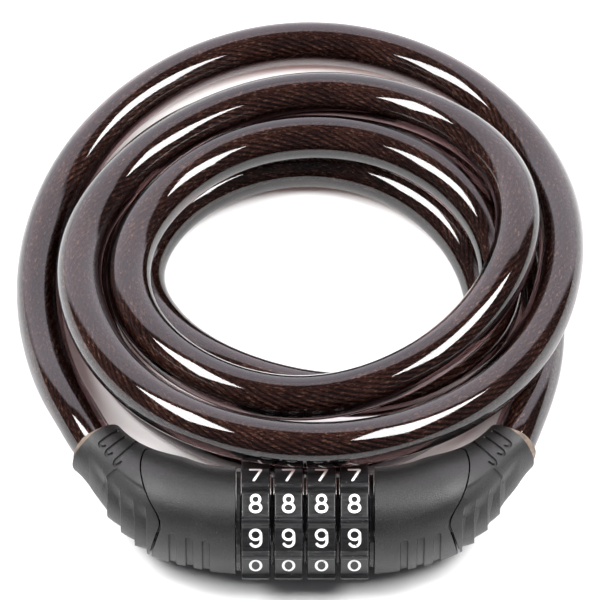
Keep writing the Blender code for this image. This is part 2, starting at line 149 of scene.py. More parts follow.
# %% [markdown]
# A finish is a Principled shader with a few nodes in front of it. The two helpers below add a node and
# join it up in one line, so that a finish reads as a short list: where the pattern lives, what the pattern
# is, and which quality of the surface it changes.

# %% Helpers for finishes


def node(tree, kind, values=None, **settings):
    """One shader node. A value that is a socket is joined, and any other is set on the input."""
    made = tree.nodes.new("ShaderNode" + kind)
    for key, value in settings.items():
        setattr(made, key, value)
    for key, value in (values or {}).items():
        if isinstance(value, bpy.types.NodeSocket):
            tree.links.new(value, made.inputs[key])
        else:
            made.inputs[key].default_value = value
    return made


def finish_of(name, color, roughness, **sockets):
    """A material with a Principled shader: (material, its tree, the shader)."""
    material = bpy.data.materials.new(name)
    material.use_nodes = True
    tree = material.node_tree
    tree.nodes.clear()
    shader = node(tree, "BsdfPrincipled", {"Base Color": (*color, 1), "Roughness": roughness})
    for key, value in sockets.items():
        shader.inputs[key.replace("_", " ")].default_value = value
    output = node(tree, "OutputMaterial", {"Surface": shader.outputs[0]})
    output.name = "out"
    return material, tree, shader


def object_place(tree, scale=(1, 1, 1)):
    """Places on the object in metres, stretched by scale."""
    place = node(tree, "TexCoord").outputs["Object"]
    return node(tree, "Mapping", {"Vector": place, "Scale": scale}).outputs[0]


def noise(tree, place, scale, detail=2.0, roughness=0.5, distortion=0.0):
    values = {"Vector": place, "Scale": scale, "Detail": detail}
    values.update({"Roughness": roughness, "Distortion": distortion})
    return node(tree, "TexNoise", values).outputs["Fac"]


def ramp(tree, factor, stops):
    """Colours or greys by position: stops are (position, grey or (r, g, b))."""
    made = node(tree, "ValToRGB", {"Fac": factor})
    band = made.color_ramp
    while len(band.elements) < len(stops):
        band.elements.new(1.0)
    for element, (position, value) in zip(band.elements, stops):
        element.position = position
        element.color = (value, value, value, 1) if isinstance(value, (int, float)) else (*value, 1)
    return made.outputs["Color"]


def remap(tree, factor, low, high, to_low, to_high):
    values = {"Value": factor, "From Min": low, "From Max": high, "To Min": to_low, "To Max": to_high}
    return node(tree, "MapRange", values).outputs["Result"]


def mix(tree, factor, a, b):
    """a where the factor is 0 and b where it is 1."""
    made = node(tree, "Mix", data_type="RGBA")
    for socket, value in ((made.inputs[0], factor), (made.inputs[6], a), (made.inputs[7], b)):
        if isinstance(value, bpy.types.NodeSocket):
            tree.links.new(value, socket)
        else:
            socket.default_value = value if isinstance(value, (int, float)) else (*value, 1)
    return made.outputs[2]


def bump(tree, height, strength, distance):
    values = {"Height": height, "Strength": strength, "Distance": distance}
    return node(tree, "Bump", values).outputs["Normal"]


# %% [markdown]
# The cable is a steel rope inside a thick clear PVC jacket, tinted smoke. It leaves the sliding housing,
# makes about four and three quarter turns that climb over each other, and goes back into the fixed housing:
# 1.73 m from ferrule to ferrule. Its route is the CAD model's own list of places round the coil, and a
# natural cubic spline through them gives one smooth line. A spline keeps its bends even, where a chain of
# arcs would show its joins.

# %% Places that come from the CAD source
MM = 0.001
BARREL_Y, BARREL_Z = -6.5 * MM, 16.9 * MM
FACE_X, END_X, END_Y = 18.25 * MM, 54.6 * MM, 22.6 * MM
END_ANGLE = math.radians(52)
COIL_X, COIL_Y = -0.5 * MM, 80.5 * MM
CABLE_R = 6.0 * MM
CABLE_INSIDE = 5.8 * MM


def exit_of(side):
    """Middle of a housing's mouth and the cable's direction there. Side is +1 fixed, -1 sliding."""
    turn, shift = (math.radians(65), 0.7 * MM) if side > 0 else (math.radians(57), 0.0)
    x, y = END_X - shift * math.sin(END_ANGLE), END_Y + shift * math.cos(END_ANGLE)
    return np.array([side * x, BARREL_Y + y, BARREL_Z]), np.array([side * math.cos(turn), math.sin(turn), 0])


LEAD_IN = [(47.5, 80.8, 16.8), (53, 78.8, 15.8), (64, 75.2, 12.2)]
TURNS = [  # (distance from the coil's middle, height) in mm at every 30 degrees
    [(71, 7.4), (71, 6.2), (74, 6.2), (77, 6.2)],
    [(76.3, 6.2), (72.2, 10), (69.4, 19), (71, 25.5), (74.8, 32), (77.3, 37.6)],
    [(73.4, 35.2), (65.2, 28.2), (58.6, 21.6), (52.3, 18.6), (49.1, 18.6), (50.3, 18.6)],
    [(53.3, 19.6), (56.6, 24), (57.5, 30.4), (56.2, 31.2), (56.2, 30.8), (57.2, 29.8)],
    [(55.5, 28.4), (51.4, 25), (45, 20.7), (39.2, 18.8), (36.2, 18.7), (35.9, 18.7)],
    [(38.7, 18.7), (44.3, 18.7), (51.7, 18.5), (56.2, 18.4), (53.2, 18.4), (47.2, 18.4)],
    [(45.2, 19.1), (43.6, 13.6), (43.1, 7.8), (39.6, 6.2), (36.3, 6.2), (35.6, 6.2)],
    [(37.2, 6.2), (41, 6.2), (47.4, 6.2), (55.3, 6.2), (60, 6.2), (60.5, 6.2)],
    [(59.3, 6.2), (58.6, 6.2), (58.2, 6.2), (57.8, 6.2), (57.2, 6.2), (57, 6.2)],
    [(58.2, 6.2), (59.8, 6.2), (63.2, 6.4)],
]
LEAD_OUT = [(1730, 68.2, 9.2), (1744.4, 74.6, 13.8), (1754.6, 80.7, 16.6)]


def cable_route():
    """Straight out of one mouth, round the coil by angle, distance and height, straight into the other."""
    ring = [place for half in TURNS for place in half]
    ring = [(90.0 + 30 * k, radius, height) for k, (radius, height) in enumerate(ring)]
    angle, radius, height = np.array(LEAD_IN + ring + LEAD_OUT).T
    turn = np.radians(angle)
    coil = [COIL_X - radius * MM * np.sin(turn), COIL_Y - radius * MM * np.cos(turn), height * MM]
    start, out = exit_of(-1)
    end, back = exit_of(1)
    first = [start - out * CABLE_INSIDE, start, start + out * 3 * MM]
    last = [end + back * 3 * MM, end, end - back * CABLE_INSIDE]
    return np.concatenate([first, np.stack(coil, 1), last])


# %% The cable's middle line


def natural_spline(route, count):
    """Even points on the natural cubic spline through the route. Its second slopes solve a three-band system,
    and between two knots the line is a cubic with those second slopes at its ends."""
    knots = np.concatenate([[0], np.cumsum(np.linalg.norm(np.diff(route, axis=0), axis=1))])
    h, n = np.diff(knots), len(knots)
    system, right = np.zeros((n, n)), np.zeros((n, 3))
    system[0, 0] = system[-1, -1] = 1.0
    middle = np.arange(1, n - 1)
    system[middle, middle - 1], system[middle, middle + 1] = h[:-1], h[1:]
    system[middle, middle] = 2 * (h[:-1] + h[1:])
    slopes = np.diff(route, axis=0) / h[:, None]
    right[1:-1] = 6 * np.diff(slopes, axis=0)
    second = np.linalg.solve(system, right)
    s = np.linspace(0, knots[-1], 8000)
    i = np.clip(np.searchsorted(knots, s) - 1, 0, n - 2)
    a, b = ((knots[i + 1] - s) / h[i])[:, None], ((s - knots[i]) / h[i])[:, None]
    w = (h[i] ** 2 / 6)[:, None]
    fine = a * route[i] + b * route[i + 1] + w * ((a**3 - a) * second[i] + (b**3 - b) * second[i + 1])
    along = np.concatenate([[0], np.cumsum(np.linalg.norm(np.diff(fine, axis=0), axis=1))])
    wanted = np.linspace(0, along[-1], count)
    return np.stack([np.interp(wanted, along, fine[:, k]) for k in range(3)], 1), wanted


def frames_along(line):
    """Two unit directions across the line at each point, level and upright: the level one is square to the
    line and to the vertical, which never meets the line of a coil that lies flat."""
    ahead = np.gradient(line, axis=0)
    ahead /= np.linalg.norm(ahead, axis=1, keepdims=True)
    level = np.cross(ahead, [0, 0, 1.0])
    level /= np.linalg.norm(level, axis=1, keepdims=True)
    return level, np.cross(level, ahead)


def tube_grid(line, radius, phase):
    """Points at radius(row, column) round the line, where phase is the angle of each column."""
    level, upright = frames_along(line)
    across = level[:, None, :] * np.cos(phase)[..., None] + upright[:, None, :] * np.sin(phase)[..., None]
    return line[:, None, :] + across * radius[..., None]


JACKET_POINTS = 1300
cable_line, cable_along = natural_spline(cable_route(), JACKET_POINTS)
cable_length = float(cable_along[-1])
print(f"cable: {cable_length:.3f} m along its middle line")

# %% [markdown]
# The jacket is clear, so light goes in, bends, meets the rope and comes out again. A Principled shader with
# full transmission and PVC's index of refraction does this by itself: the rope looks half as wide again as
# it is, as in the real cable. Its colour is the smoke tint. Blender lets no lamp through glass directly, so
# a Mix Shader makes the jacket plain tinted transparent for shadow rays alone, and the rope is lit.
# The jacket's surface is faintly wavy from the extruder and has fine handling marks. Both follow the cable,
# so they read an attribute that holds each point's place on the cable as if it lay straight.

# %% Smoke PVC


def straight_place(tree, scale=(1, 1, 1)):
    """Places on the cable as if it lay straight along Z, in metres."""
    place = node(tree, "Attribute", attribute_name="straight").outputs["Vector"]
    return node(tree, "Mapping", {"Vector": place, "Scale": scale}).outputs[0]


def smoke_pvc():
    made, tree, shader = finish_of("smoke_pvc", (0.036, 0.019, 0.019), 0.03, IOR=1.52)
    shader.inputs["Transmission Weight"].default_value = 1.0
    along = straight_place(tree, (1, 1, 0.12))
    wavy = noise(tree, along, 90, 2)
    marks = noise(tree, straight_place(tree, (1, 1, 0.3)), 900, 3, 0.6)
    tree.links.new(remap(tree, marks, 0.55, 0.8, 0.02, 0.09), shader.inputs["Roughness"])
    tree.links.new(bump(tree, wavy, 0.12, 0.0006), shader.inputs["Normal"])
    shadow = node(tree, "BsdfTransparent", {"Color": (0.34, 0.27, 0.255, 1)})
    ray = node(tree, "LightPath").outputs["Is Shadow Ray"]
    both = node(tree, "MixShader", {0: ray, 1: shader.outputs[0], 2: shadow.outputs[0]})
    tree.links.new(both.outputs[0], tree.nodes["out"].inputs["Surface"])
    return made


# %% Jacket
JACKET_SIDES = 36


def jacket():
    """A round tube on the cable's line, closed by a flat disc at each end."""
    phase = np.broadcast_to(np.arange(JACKET_SIDES) * 2 * np.pi / JACKET_SIDES, (JACKET_POINTS, JACKET_SIDES))
    grid = tube_grid(cable_line, np.full(phase.shape, CABLE_R), phase)
    z = np.broadcast_to(cable_along[:, None], phase.shape)
    straight = np.stack([CABLE_R * np.cos(phase), CABLE_R * np.sin(phase), z], -1)
    grid = np.concatenate([pole(grid[0])[None], grid, pole(grid[-1])[None]])
    straight = np.concatenate([straight[:1], straight, straight[-1:]])
    return put_surface("smoke_jacket", [(grid, False, True)], smoke_pvc(), 40, ("straight", straight))


# %% [markdown]
# The rope is twelve strands laid with a turn every 42 mm. Its section is a ring of twelve round
# lobes, and the whole section turns as it goes along the line. That gives the strands as real ridges, and
# the many fine wires in each strand are left to the finish: they run almost along the cable, so the pattern
# is noise drawn out along the straightened cable. The wires' colour runs from dark to light brown, partly
# their own tone and partly painted glints, and scattered pale gold spots of base colour are painted glints.

# %% Steel rope
ROPE_R = 2.6 * MM
STRANDS = 12
LAY_LENGTH = -42 * MM
ROPE_SIDES = 72
ROPE_POINTS = 1200
ROPE_REACH = 4.4 * MM


def rope_steel():
    made, tree, shader = finish_of("rope_steel", (0.08, 0.05, 0.035), 0.35, Metallic=0.55)
    wires = noise(tree, straight_place(tree, (1, 1, 0.1)), 3600, 2, 0.6)
    painted_glint_noise = noise(tree, straight_place(tree, (1, 1, 0.22)), 2300, 2, 0.65, 0.3)
    patches = noise(tree, straight_place(tree, (1, 1, 0.5)), 160, 2)
    # The wires' tones: partly their own tone, partly painted glints at the light brown end.
    wire_tones_and_glints = [(0.3, (0.06, 0.03, 0.02)), (0.55, (0.26, 0.17, 0.13)), (0.8, (0.6, 0.44, 0.33))]
    base = ramp(tree, wires, wire_tones_and_glints)
    # Painted glints: where this mask is high the base colour turns pale gold, standing in for highlights on
    # the wires.
    painted_glint_mask = ramp(tree, painted_glint_noise, [(0.56, 0.0), (0.68, 1.0)])
    base = mix(tree, painted_glint_mask, base, (1.0, 0.84, 0.6))
    shade = ramp(tree, patches, [(0.35, (0.5, 0.45, 0.45)), (0.65, (1, 1, 1))])
    shaded = node(tree, "Mix", data_type="RGBA", blend_type="MULTIPLY")
    shaded.inputs[0].default_value = 1.0
    tree.links.new(base, shaded.inputs[6])
    tree.links.new(shade, shaded.inputs[7])
    tree.links.new(shaded.outputs[2], shader.inputs["Base Color"])
    tree.links.new(remap(tree, wires, 0.3, 0.7, 0.5, 0.28), shader.inputs["Roughness"])
    tree.links.new(bump(tree, wires, 0.8, 0.0003), shader.inputs["Normal"])
    return made


def rope():
    """Twelve lobes: each lobe is an arc of radius rho about a middle at R - rho, met by its neighbours at
    plus and minus 15 degrees, and the section's angle grows by a full turn in each lay length."""
    line, along = natural_spline(cable_route(), ROPE_POINTS)
    ahead = np.gradient(line, axis=0)
    ahead /= np.linalg.norm(ahead, axis=1, keepdims=True)
    line = np.concatenate([line[:1] - ahead[:1] * ROPE_REACH, line, line[-1:] + ahead[-1:] * ROPE_REACH])
    along = np.concatenate([[-ROPE_REACH], along, [along[-1] + ROPE_REACH]])
    half = np.sin(np.pi / STRANDS)
    rho = ROPE_R * half / (1 + half)
    middle = ROPE_R - rho
    own = np.arange(ROPE_SIDES) * 2 * np.pi / ROPE_SIDES
    local = (own + np.pi / STRANDS) % (2 * np.pi / STRANDS) - np.pi / STRANDS
    lobe = middle * np.cos(local) + np.sqrt(np.maximum(rho**2 - (middle * np.sin(local)) ** 2, 0))
    phase = own[None, :] + 2 * np.pi * along[:, None] / LAY_LENGTH
    radius = np.broadcast_to(lobe, phase.shape)
    grid = tube_grid(line, radius, phase)
    z = np.broadcast_to(along[:, None], phase.shape)
    straight = np.stack([radius * np.cos(phase), radius * np.sin(phase), z], -1)
    grid = np.concatenate([pole(grid[0])[None], grid, pole(grid[-1])[None]])
    straight = np.concatenate([straight[:1], straight, straight[-1:]])
    return put_surface("rope_strands", [(grid, False, True)], rope_steel(), 80, ("straight", straight))


# %% Cable in place
smoke_jacket = jacket()
rope_strands = rope()
for piece, own_slot, stands_for in (
    (smoke_jacket, "smoke_black_pvc", "cable_jacket"),
    (rope_strands, "plated_steel", "cable_core"),
):
    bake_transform(piece)
    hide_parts(stands_for)

# %% [markdown]
# Each housing is two mouldings that meet along an S-shaped parting line: a dial-side shell and a cable-side
# cover that bends back and tapers to the cable. Both are one family of rings about a curved middle line, as
# in the CAD model, so a place on them is two numbers: t along the line and an angle round it, 0 at the
# front and 90 on top. Every feature is a push in or out along the ring's radius, given as a function of
# those two numbers, so it is real relief and not only shading.

# %% The housings' base shape
FACE_R, MOUTH_R, WALL = 14.6 * MM, 8.5 * MM, 1.7 * MM
SIDE_SQUEEZE, FOOT_STRETCH = 0.925, 1.18
FACE_WALL = 0.045
SEAM_GAP = 0.013
AROUND = 400
ring_angle = np.arange(AROUND) * 360.0 / AROUND


def housing_path(t):
    """Middle line on the +X side: a cubic from the dial face, straight at first, that turns 52 degrees."""
    end = np.array([END_X, END_Y])
    before_end = end - 15 * MM * np.array([math.cos(END_ANGLE), math.sin(END_ANGLE)])
    knots = np.array([[FACE_X, 0.0], [FACE_X + 20 * MM, 0.0], before_end, end])
    weights = np.stack([(1 - t) ** 3, 3 * t * (1 - t) ** 2, 3 * t * t * (1 - t), t**3], -1)
    slopes = np.stack([-3 * (1 - t) ** 2, 3 * (1 - t) * (1 - 3 * t), 3 * t * (2 - 3 * t), 3 * t * t], -1)
    slope = slopes @ knots
    return weights @ knots, slope / np.linalg.norm(slope, axis=-1, keepdims=True)


def housing_points(t, angle, side, push=0.0, radius=None):
    """Points at t and angle, pushed out along the ring's radius. The section is an ellipse, deeper below its
    middle, and it never goes under the floor. With radius it is a plain round hole instead."""
    place, slope = housing_path(t)
    turn = np.radians(angle)
    full = FACE_R - (FACE_R - MOUTH_R) * smooth_step((t - 0.34) / 0.66) + push
    squeeze, deeper = SIDE_SQUEEZE, 1 + (FOOT_STRETCH - 1) * (1 - smooth_step((t - 0.4) / 0.5))
    if radius is not None:
        full, squeeze, deeper = radius + 0 * t, 1.0, 1.0
    back = -full * np.cos(turn) * squeeze
    rise = full * np.sin(turn)
    rise = np.where(rise < 0, rise * deeper, rise)
    x = place[..., 0] - slope[..., 1] * back
    y = place[..., 1] + slope[..., 0] * back
    z = np.maximum(BARREL_Z + rise, np.maximum(-np.minimum(push, 0), 0) if radius is None else 0)
    return np.stack([side * x, BARREL_Y + y, z], -1)


def parting_line():
    """Where the mouldings meet, as t at each ring angle: an S on the front, softened."""
    angles = [0, 40, 64, 88, 120, 180, 225, 270, 325, 360]
    places = [0.325, 0.30, 0.44, 0.575, 0.68, 0.63, 0.55, 0.45, 0.36, 0.325]
    fine = np.interp(np.arange(0, 360, 2.0), angles, places)
    soft = np.convolve(np.tile(fine, 3), np.ones(11) / 11, "same")[len(fine) : 2 * len(fine)]
    return np.interp(ring_angle, np.arange(0, 360, 2.0), soft, period=360)


# %% [markdown]
# The relief on the front: a row of finger steps cut like a saw towards the cable, three short slots low by
# the dials, a soft crease over the grip, and three hooked grooves on top near the cable. The steps' walls
# and the slots are square to the lock's length, as the mould's pull needs, so they are functions of x.

# %% Relief of the housings
STEP_WALLS = (41.9, 45.2, 48.9, 52.2)  # mm from the middle of the lock
STEP_DEPTH, STEP_SOFT = 1.35, 0.4
LAST_DEPTH, LAST_REACH = 1.1, 5.0
SLOT_MIDDLES = (26.05, 30.5, 35.0)
SLOT_HALF, SLOT_DEPTH, SLOT_TOP = 0.95, 0.55, 24.0
GROOVE_HALF, GROOVE_DEPTH = 0.3, 0.6
FULLNESS = {  # how far the front stands in from the plain shape, by mm from the middle of the lock
    -1: ([18, 26, 30, 40, 49, 53, 57, 61], [-0.4, -0.8, -1.15, -0.9, -0.9, -0.2, -0.2, 0.8]),
    1: ([18, 26, 30, 40, 49, 53, 57, 61], [-0.4, -0.9, -1.1, -1.6, -1.6, -1.4, -0.9, -0.5]),
}
HOOK_HALF = 0.0215  # half the hook's width, as a share of the middle line
HOOKS = [  # t and angle at the hook's middle, its dip, the top end's angle, the lean towards the cable
    (0.7225, 76, 9.0, 145, 0.085),
    (0.8215, 77, 7.5, 125, 0.03),
    (0.90, 78, 5.5, 125, 0.02),
]
PANEL_DEPTH = 0.35
CREASE_ANGLE, CREASE_FALL, CREASE_BEND, CREASE_REACH = 67.0, 21.0, 0.69, 0.03


def signed_angle(angle):
    return (angle + 90) % 360 - 90


def saw(x):
    """Depth of the finger steps at x mm: it drops at each wall and climbs back by the next one."""
    depth = 0 * x
    for start, end in zip(STEP_WALLS[:-1], STEP_WALLS[1:]):
        climb = STEP_DEPTH * (end - x) / (end - start) * smooth_step((x - start) / STEP_SOFT)
        depth = np.where((x >= start) & (x < end), climb, depth)
    past = x - STEP_WALLS[-1]
    fade = LAST_DEPTH * smooth_step(past / STEP_SOFT) * (1 - smooth_step(past / LAST_REACH))
    return np.where(past > 0, fade, depth)


def slots(x, angle):
    """Depth of the slots by the dials: distance from a line that starts at the slot's round top end."""
    depth = 0 * x
    for middle in SLOT_MIDDLES:
        above = np.maximum(signed_angle(angle) - SLOT_TOP, 0) * 0.25
        away = np.hypot(x - middle, above)
        depth = np.maximum(depth, SLOT_DEPTH * smooth_step((SLOT_HALF - away) / 0.3 + 0.5))
    return depth * smooth_step((signed_angle(angle) + 78) / 10)


def hook_line(middle, foot, dip, top, lean):
    """(t, angle) along a hook: down from the top, leaning by a square law, then half an ellipse."""
    down = np.linspace(1, 0, 48)
    turn = np.radians(np.linspace(0, 180, 24))[1:]
    t = np.concatenate([middle + HOOK_HALF + lean * down**2, middle + HOOK_HALF * np.cos(turn)])
    return t, np.concatenate([foot + (top - foot) * down, foot - dip * np.sin(turn)])


def grooves(points, side):
    """Depth of the hooked grooves: a round-bottomed cut within a set distance of each hook's line."""
    depth = np.zeros(points.shape[:-1])
    for hook in HOOKS:
        line = housing_points(*hook_line(*hook), side)
        near = np.full(depth.shape, 1.0)
        for place in line:
            near = np.minimum(near, np.linalg.norm(points - place, axis=-1))
        depth = np.maximum(depth, GROOVE_DEPTH * smooth_step((GROOVE_HALF - near / MM) / 0.22 + 0.6))
    return depth


def relief(t, angle, side, cover):
    """Push along the radius, in metres, at each place of the outer face. Below the crease the grip's panel
    lies lower, and everything fades out towards the top and the foot."""
    points = housing_points(t, angle, side)
    x = np.abs(points[..., 0]) / MM
    a = signed_angle(angle)
    front = smooth_step((70 - a) / 50) * smooth_step((a + 85) / 35)
    push = np.interp(x, *FULLNESS[side]) * front
    if not cover:
        return (push - slots(x, angle)) * MM
    grip = smooth_step((48 - a) / 18) * smooth_step((a + 88) / 14)
    crease = CREASE_ANGLE - CREASE_FALL * smooth_step((t - CREASE_BEND) / CREASE_REACH)
    panel = smooth_step((crease - a) / 3.5) * smooth_step((0.725 - t) / 0.03) * smooth_step((a - 5) / 40)
    return (push - saw(x) * grip - PANEL_DEPTH * panel - grooves(points, side)) * MM


# %% Charcoal ABS


def charcoal_abs():
    made, tree, shader = finish_of("charcoal_abs", (0.015, 0.015, 0.015), 0.42, IOR=1.42)
    place = object_place(tree)
    grain = noise(tree, place, 2600, 3, 0.65)
    cloud = noise(tree, place, 70, 2)
    speck = noise(tree, place, 1500, 1, 0.5)
    shade = mix(tree, remap(tree, grain, 0.35, 0.7, 0, 1), (0.006, 0.006, 0.006), (0.02, 0.02, 0.0195))
    dust = ramp(tree, speck, [(0.74, 0.0), (0.80, 0.5)])
    tree.links.new(mix(tree, dust, shade, (0.09, 0.09, 0.086)), shader.inputs["Base Color"])
    tree.links.new(remap(tree, cloud, 0.3, 0.7, 0.36, 0.48), shader.inputs["Roughness"])
    tree.links.new(bump(tree, grain, 0.55, 0.0002), shader.inputs["Normal"])
    return made


abs_finish = charcoal_abs()

# %% Housings
LIP_REACH, LIP_DROP = 0.0085, 0.45 * MM  # along t, and inwards
HOLE_R = {1: 10.0 * MM, -1: 3.4 * MM}


def shell(name, side, node_name, body, cover):
    """Outer face, inner wall and, on the dial side, the face wall, carried round as one closed ring of rows.
    Each rim is a sharp lip, cut back underneath on a straight slant."""
    seam = parting_line()
    start = seam + SEAM_GAP if cover else np.zeros(AROUND)
    end = np.ones(AROUND) if cover else seam
    slant = 1 - np.cos(np.linspace(0, np.pi / 2, 5))[:, None]
    share = np.linspace(0, 1, 210 if cover else 150)[1:-1, None]
    between = start + LIP_REACH + share * (end - start - 2 * LIP_REACH)
    t = np.concatenate([start + LIP_REACH * slant[::-1], between, end - LIP_REACH * slant])
    drop = np.concatenate([slant[::-1], 0 * share, slant])
    angle = np.broadcast_to(ring_angle, t.shape)
    push = relief(t, angle, side, cover) - drop * LIP_DROP
    outer = housing_points(t, angle, side, push)
    inner_start = start if cover else np.full(AROUND, FACE_WALL)
    shares = np.linspace(0, 1, 14)[:, None]
    t = inner_start + shares * (end - inner_start)
    angle = np.broadcast_to(ring_angle, t.shape)
    thin = np.minimum(relief(t, angle, side, False), 0) * 0.6
    inner = housing_points(t, angle, side, thin - (WALL - (0.7 * MM * shares if cover else 0)))
    rows = [outer, inner[::-1]]
    if not cover:
        for place in (FACE_WALL, 0.0):
            hole = np.full((1, AROUND), place)
            rows.append(housing_points(hole, ring_angle[None], side, 0, HOLE_R[side]))
    made = put_surface(name, [(np.concatenate(rows), True, True)], abs_finish, 35)
    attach(made, body)
    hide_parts(node_name)
    return made


for side, word in ((1, "lock"), (-1, "bolt")):
    shell(f"{word}_housing_shell", side, f"{word}_housing", f"{word}_side", False)
    shell(f"{word}_cover_shell", side, f"{word}_end_cover", f"{word}_side", True)

# %% [markdown]
# A brown bush sits in each mouth round the cable and stands a little out of it. It is a lathe profile
# carried round the cable's own direction, made slightly uneven because it is squeezed in by hand.

# %% Bushes


def bush_finish():
    made, tree, shader = finish_of("brown_bush", (0.2, 0.15, 0.1), 0.6)
    place = object_place(tree)
    tone = noise(tree, place, 500, 3, 0.6)
    browns = [(0.35, (0.07, 0.05, 0.035)), (0.6, (0.15, 0.11, 0.08)), (0.8, (0.28, 0.23, 0.17))]
    color = ramp(tree, tone, browns)
    tree.links.new(color, shader.inputs["Base Color"])
    tree.links.new(bump(tree, noise(tree, place, 1800, 3), 0.5, 0.0003), shader.inputs["Normal"])
    return made


bush_brown = bush_finish()
BUSH = [(-1.2, 6.1), (-1.2, 7.2), (0.5, 7.3), (1.0, 7.2), (1.35, 6.9), (1.5, 6.5), (1.35, 6.1)]


def bush(name, side, node_name, body):
    """(ahead, radius) turned about the cable's direction, with two slow waves round the rim."""
    mouth, way = exit_of(side)
    across, up = np.array([-way[1], way[0], 0]), np.array([0, 0, 1.0])
    ahead, radius = np.array(BUSH).T * MM
    turn = np.arange(72) * 2 * np.pi / 72
    wave = 0.12 * MM * (np.sin(3 * turn + side) + 0.6 * np.sin(7 * turn))
    reach = ahead[:, None] + np.where(ahead[:, None] > 0, wave[None], 0)
    ring = across * np.cos(turn)[:, None] + up * np.sin(turn)[:, None]
    grid = mouth + way * reach[..., None] + ring[None] * radius[:, None, None]
    made = put_surface(name, [(grid, True, True)], bush_brown, 50)
    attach(made, body)
    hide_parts(node_name)
    return made


for side, word in ((1, "lock"), (-1, "bolt")):
    bush(f"{word}_bush", side, f"{word}_cable_seal", f"{word}_side")

# %% [markdown]
# A number dial has ten flats and a rib at each corner for the finger. The rib is a ratchet: steep on its
# upper side and sloping on its lower side. The outline is one function of the angle round the barrel, and
# it is carried across the dial's width with rounded side edges and a round bore.

# %% Dials
DIALS, DIAL_PITCH, DIAL_WIDTH = 4, 8.6 * MM, 7.4 * MM
DIAL_FLAT, DIAL_RIB, DIAL_BORE = 14.6 * MM, 16.3 * MM, 10.2 * MM
RIB_ANGLE, SECTOR = 55.0, 36.0
DIAL_EDGE = 0.45 * MM
DIAL_STEPS = 720


def dial_outline():
    """Radius by angle: a flat's distance over the cosine, or the rib where that stands higher."""
    angle = np.arange(DIAL_STEPS) * 360.0 / DIAL_STEPS
    from_rib = (angle - RIB_ANGLE + SECTOR / 2) % SECTOR - SECTOR / 2
    from_middle = SECTOR / 2 - np.abs(from_rib)
    flat = DIAL_FLAT / np.cos(np.radians(from_middle))
    share = np.interp(from_rib, [-7.0, -5.0, -2.4, 2.0, 3.6], [0.0, 0.25, 0.93, 1.0, 0.0])
    radius = flat + share * (DIAL_RIB - flat)
    wide = np.concatenate([radius[-2:], radius, radius[:2]])
    return angle, np.convolve(wide, [0.1, 0.2, 0.4, 0.2, 0.1], "valid")


def on_barrel(x, angle, radius):
    """A point by its place along the barrel, angle (0 front, 90 top) and radius."""
    turn = np.radians(angle)
    x, turn, radius = np.broadcast_arrays(x, turn, radius)
    return np.stack([x, BARREL_Y - radius * np.cos(turn), BARREL_Z + radius * np.sin(turn)], -1)


def dial_black():
    made, tree, shader = finish_of("satin_dial_black", (0.01, 0.01, 0.011), 0.3, IOR=1.36)
    place = object_place(tree)
    hairs = noise(tree, object_place(tree, (1, 6, 6)), 260, 4, 0.7)
    specks = noise(tree, place, 1900, 2, 0.6)
    dust = ramp(tree, specks, [(0.70, 0.0), (0.76, 1.0)])
    shade = mix(tree, remap(tree, hairs, 0.4, 0.75, 0, 1), (0.006, 0.006, 0.0065), (0.017, 0.017, 0.018))
    tree.links.new(mix(tree, dust, shade, (0.16, 0.16, 0.15)), shader.inputs["Base Color"])
    tree.links.new(remap(tree, hairs, 0.3, 0.75, 0.26, 0.5), shader.inputs["Roughness"])
    tree.links.new(bump(tree, hairs, 0.18, 0.0002), shader.inputs["Normal"])
    return made


dial_finish = dial_black()


def dial(number):
    middle = (number - (DIALS + 1) / 2) * DIAL_PITCH
    half = DIAL_WIDTH / 2
    quarter = np.radians(np.linspace(0, 90, 6))
    side_x = -half + DIAL_EDGE * (1 - np.cos(quarter))
    side_in = DIAL_EDGE * (1 - np.sin(quarter))
    x = np.concatenate([side_x, [-half / 3, half / 3], -side_x[::-1]])
    inset = np.concatenate([side_in, [0, 0], side_in[::-1]])
    angle, radius = dial_outline()
    face = on_barrel(middle + x[:, None], angle[None], radius[None] - inset[:, None])
    bore = on_barrel(middle + np.array([[half], [-half]]), angle[None], DIAL_BORE)
    made = put_surface(f"dial_{number}_ring", [(np.concatenate([face, bore]), True, True)], dial_finish, 28)
    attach(made, f"dial_{number}")
    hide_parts(f"number_dial_{number}")


for number in range(1, DIALS + 1):
    dial(number)

# %% [markdown]
# The digits are white paint in a round-ended stroke. Each digit is a few lines and arcs of an ellipse, and a
# stroke of even width follows each one as a thin slab that stands a hair above the flat. That keeps the
# edges crisp at any size, with no font and no picture.

# %% Digits
STROKE_HALF = 0.34
PAINT_HIGH, PAINT_SUNK = 0.05 * MM, 0.2 * MM
NINE_ANGLE = 37.0


def arc(x, y, wide, high, start, end, count=28):
    turn = np.radians(np.linspace(start, end, count))
    return np.stack([x + wide * np.cos(turn), y + high * np.sin(turn)], 1)


def bent(*corners):
    """A line through corners with points close together."""
    corners = np.array(corners, float)
    own = np.arange(len(corners))
    fine = np.linspace(0, own[-1], 14 * own[-1] + 1)
    return np.stack([np.interp(fine, own, corners[:, k]) for k in (0, 1)], 1)


